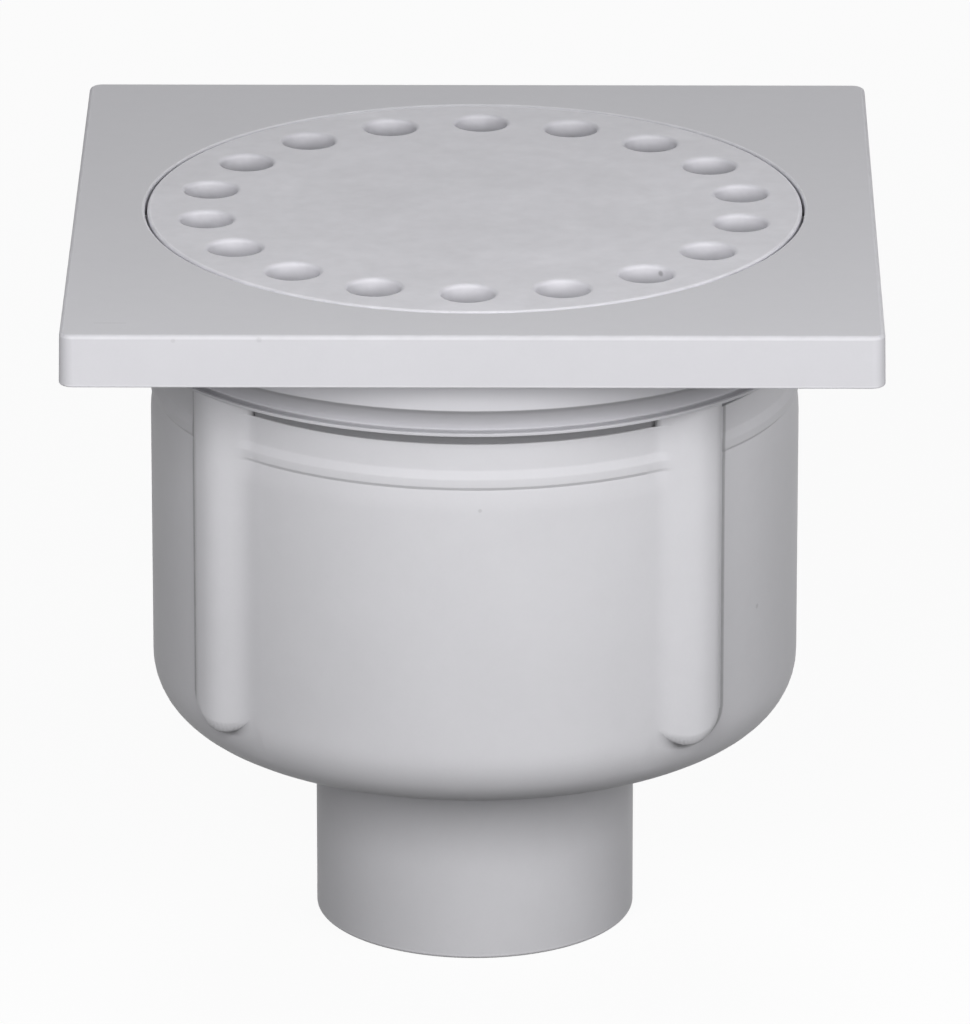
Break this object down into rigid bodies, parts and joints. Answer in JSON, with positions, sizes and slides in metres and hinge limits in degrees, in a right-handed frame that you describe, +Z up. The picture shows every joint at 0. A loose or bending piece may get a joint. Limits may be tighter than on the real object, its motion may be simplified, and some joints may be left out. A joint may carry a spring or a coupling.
{
  "type": "gully trap",
  "caption": "Floor gully trap: square plate with a round lift-out grate whose bell dips into a ribbed pot as a water seal, over a vertical outlet spigot.",
  "frame": {"origin": "centre of the outlet spigot's end face, on which the part stands", "axes": "+Z up along the pot's axis, +X and +Y along the sides of the square plate, the pictured side towards -Y"},
  "size_m": [0.1, 0.1, 0.0932],
  "materials": {
    "pot_pvc": "satin moulded PVC",
    "frame_pvc": "satin moulded PVC",
    "grate_pvc": "satin moulded PVC, slightly cloudy"
  },
  "bodies": {
    "root": {"body": "pot_pvc", "frame": "frame_pvc", "grate": "grate_pvc"}
  },
  "joints": []
}
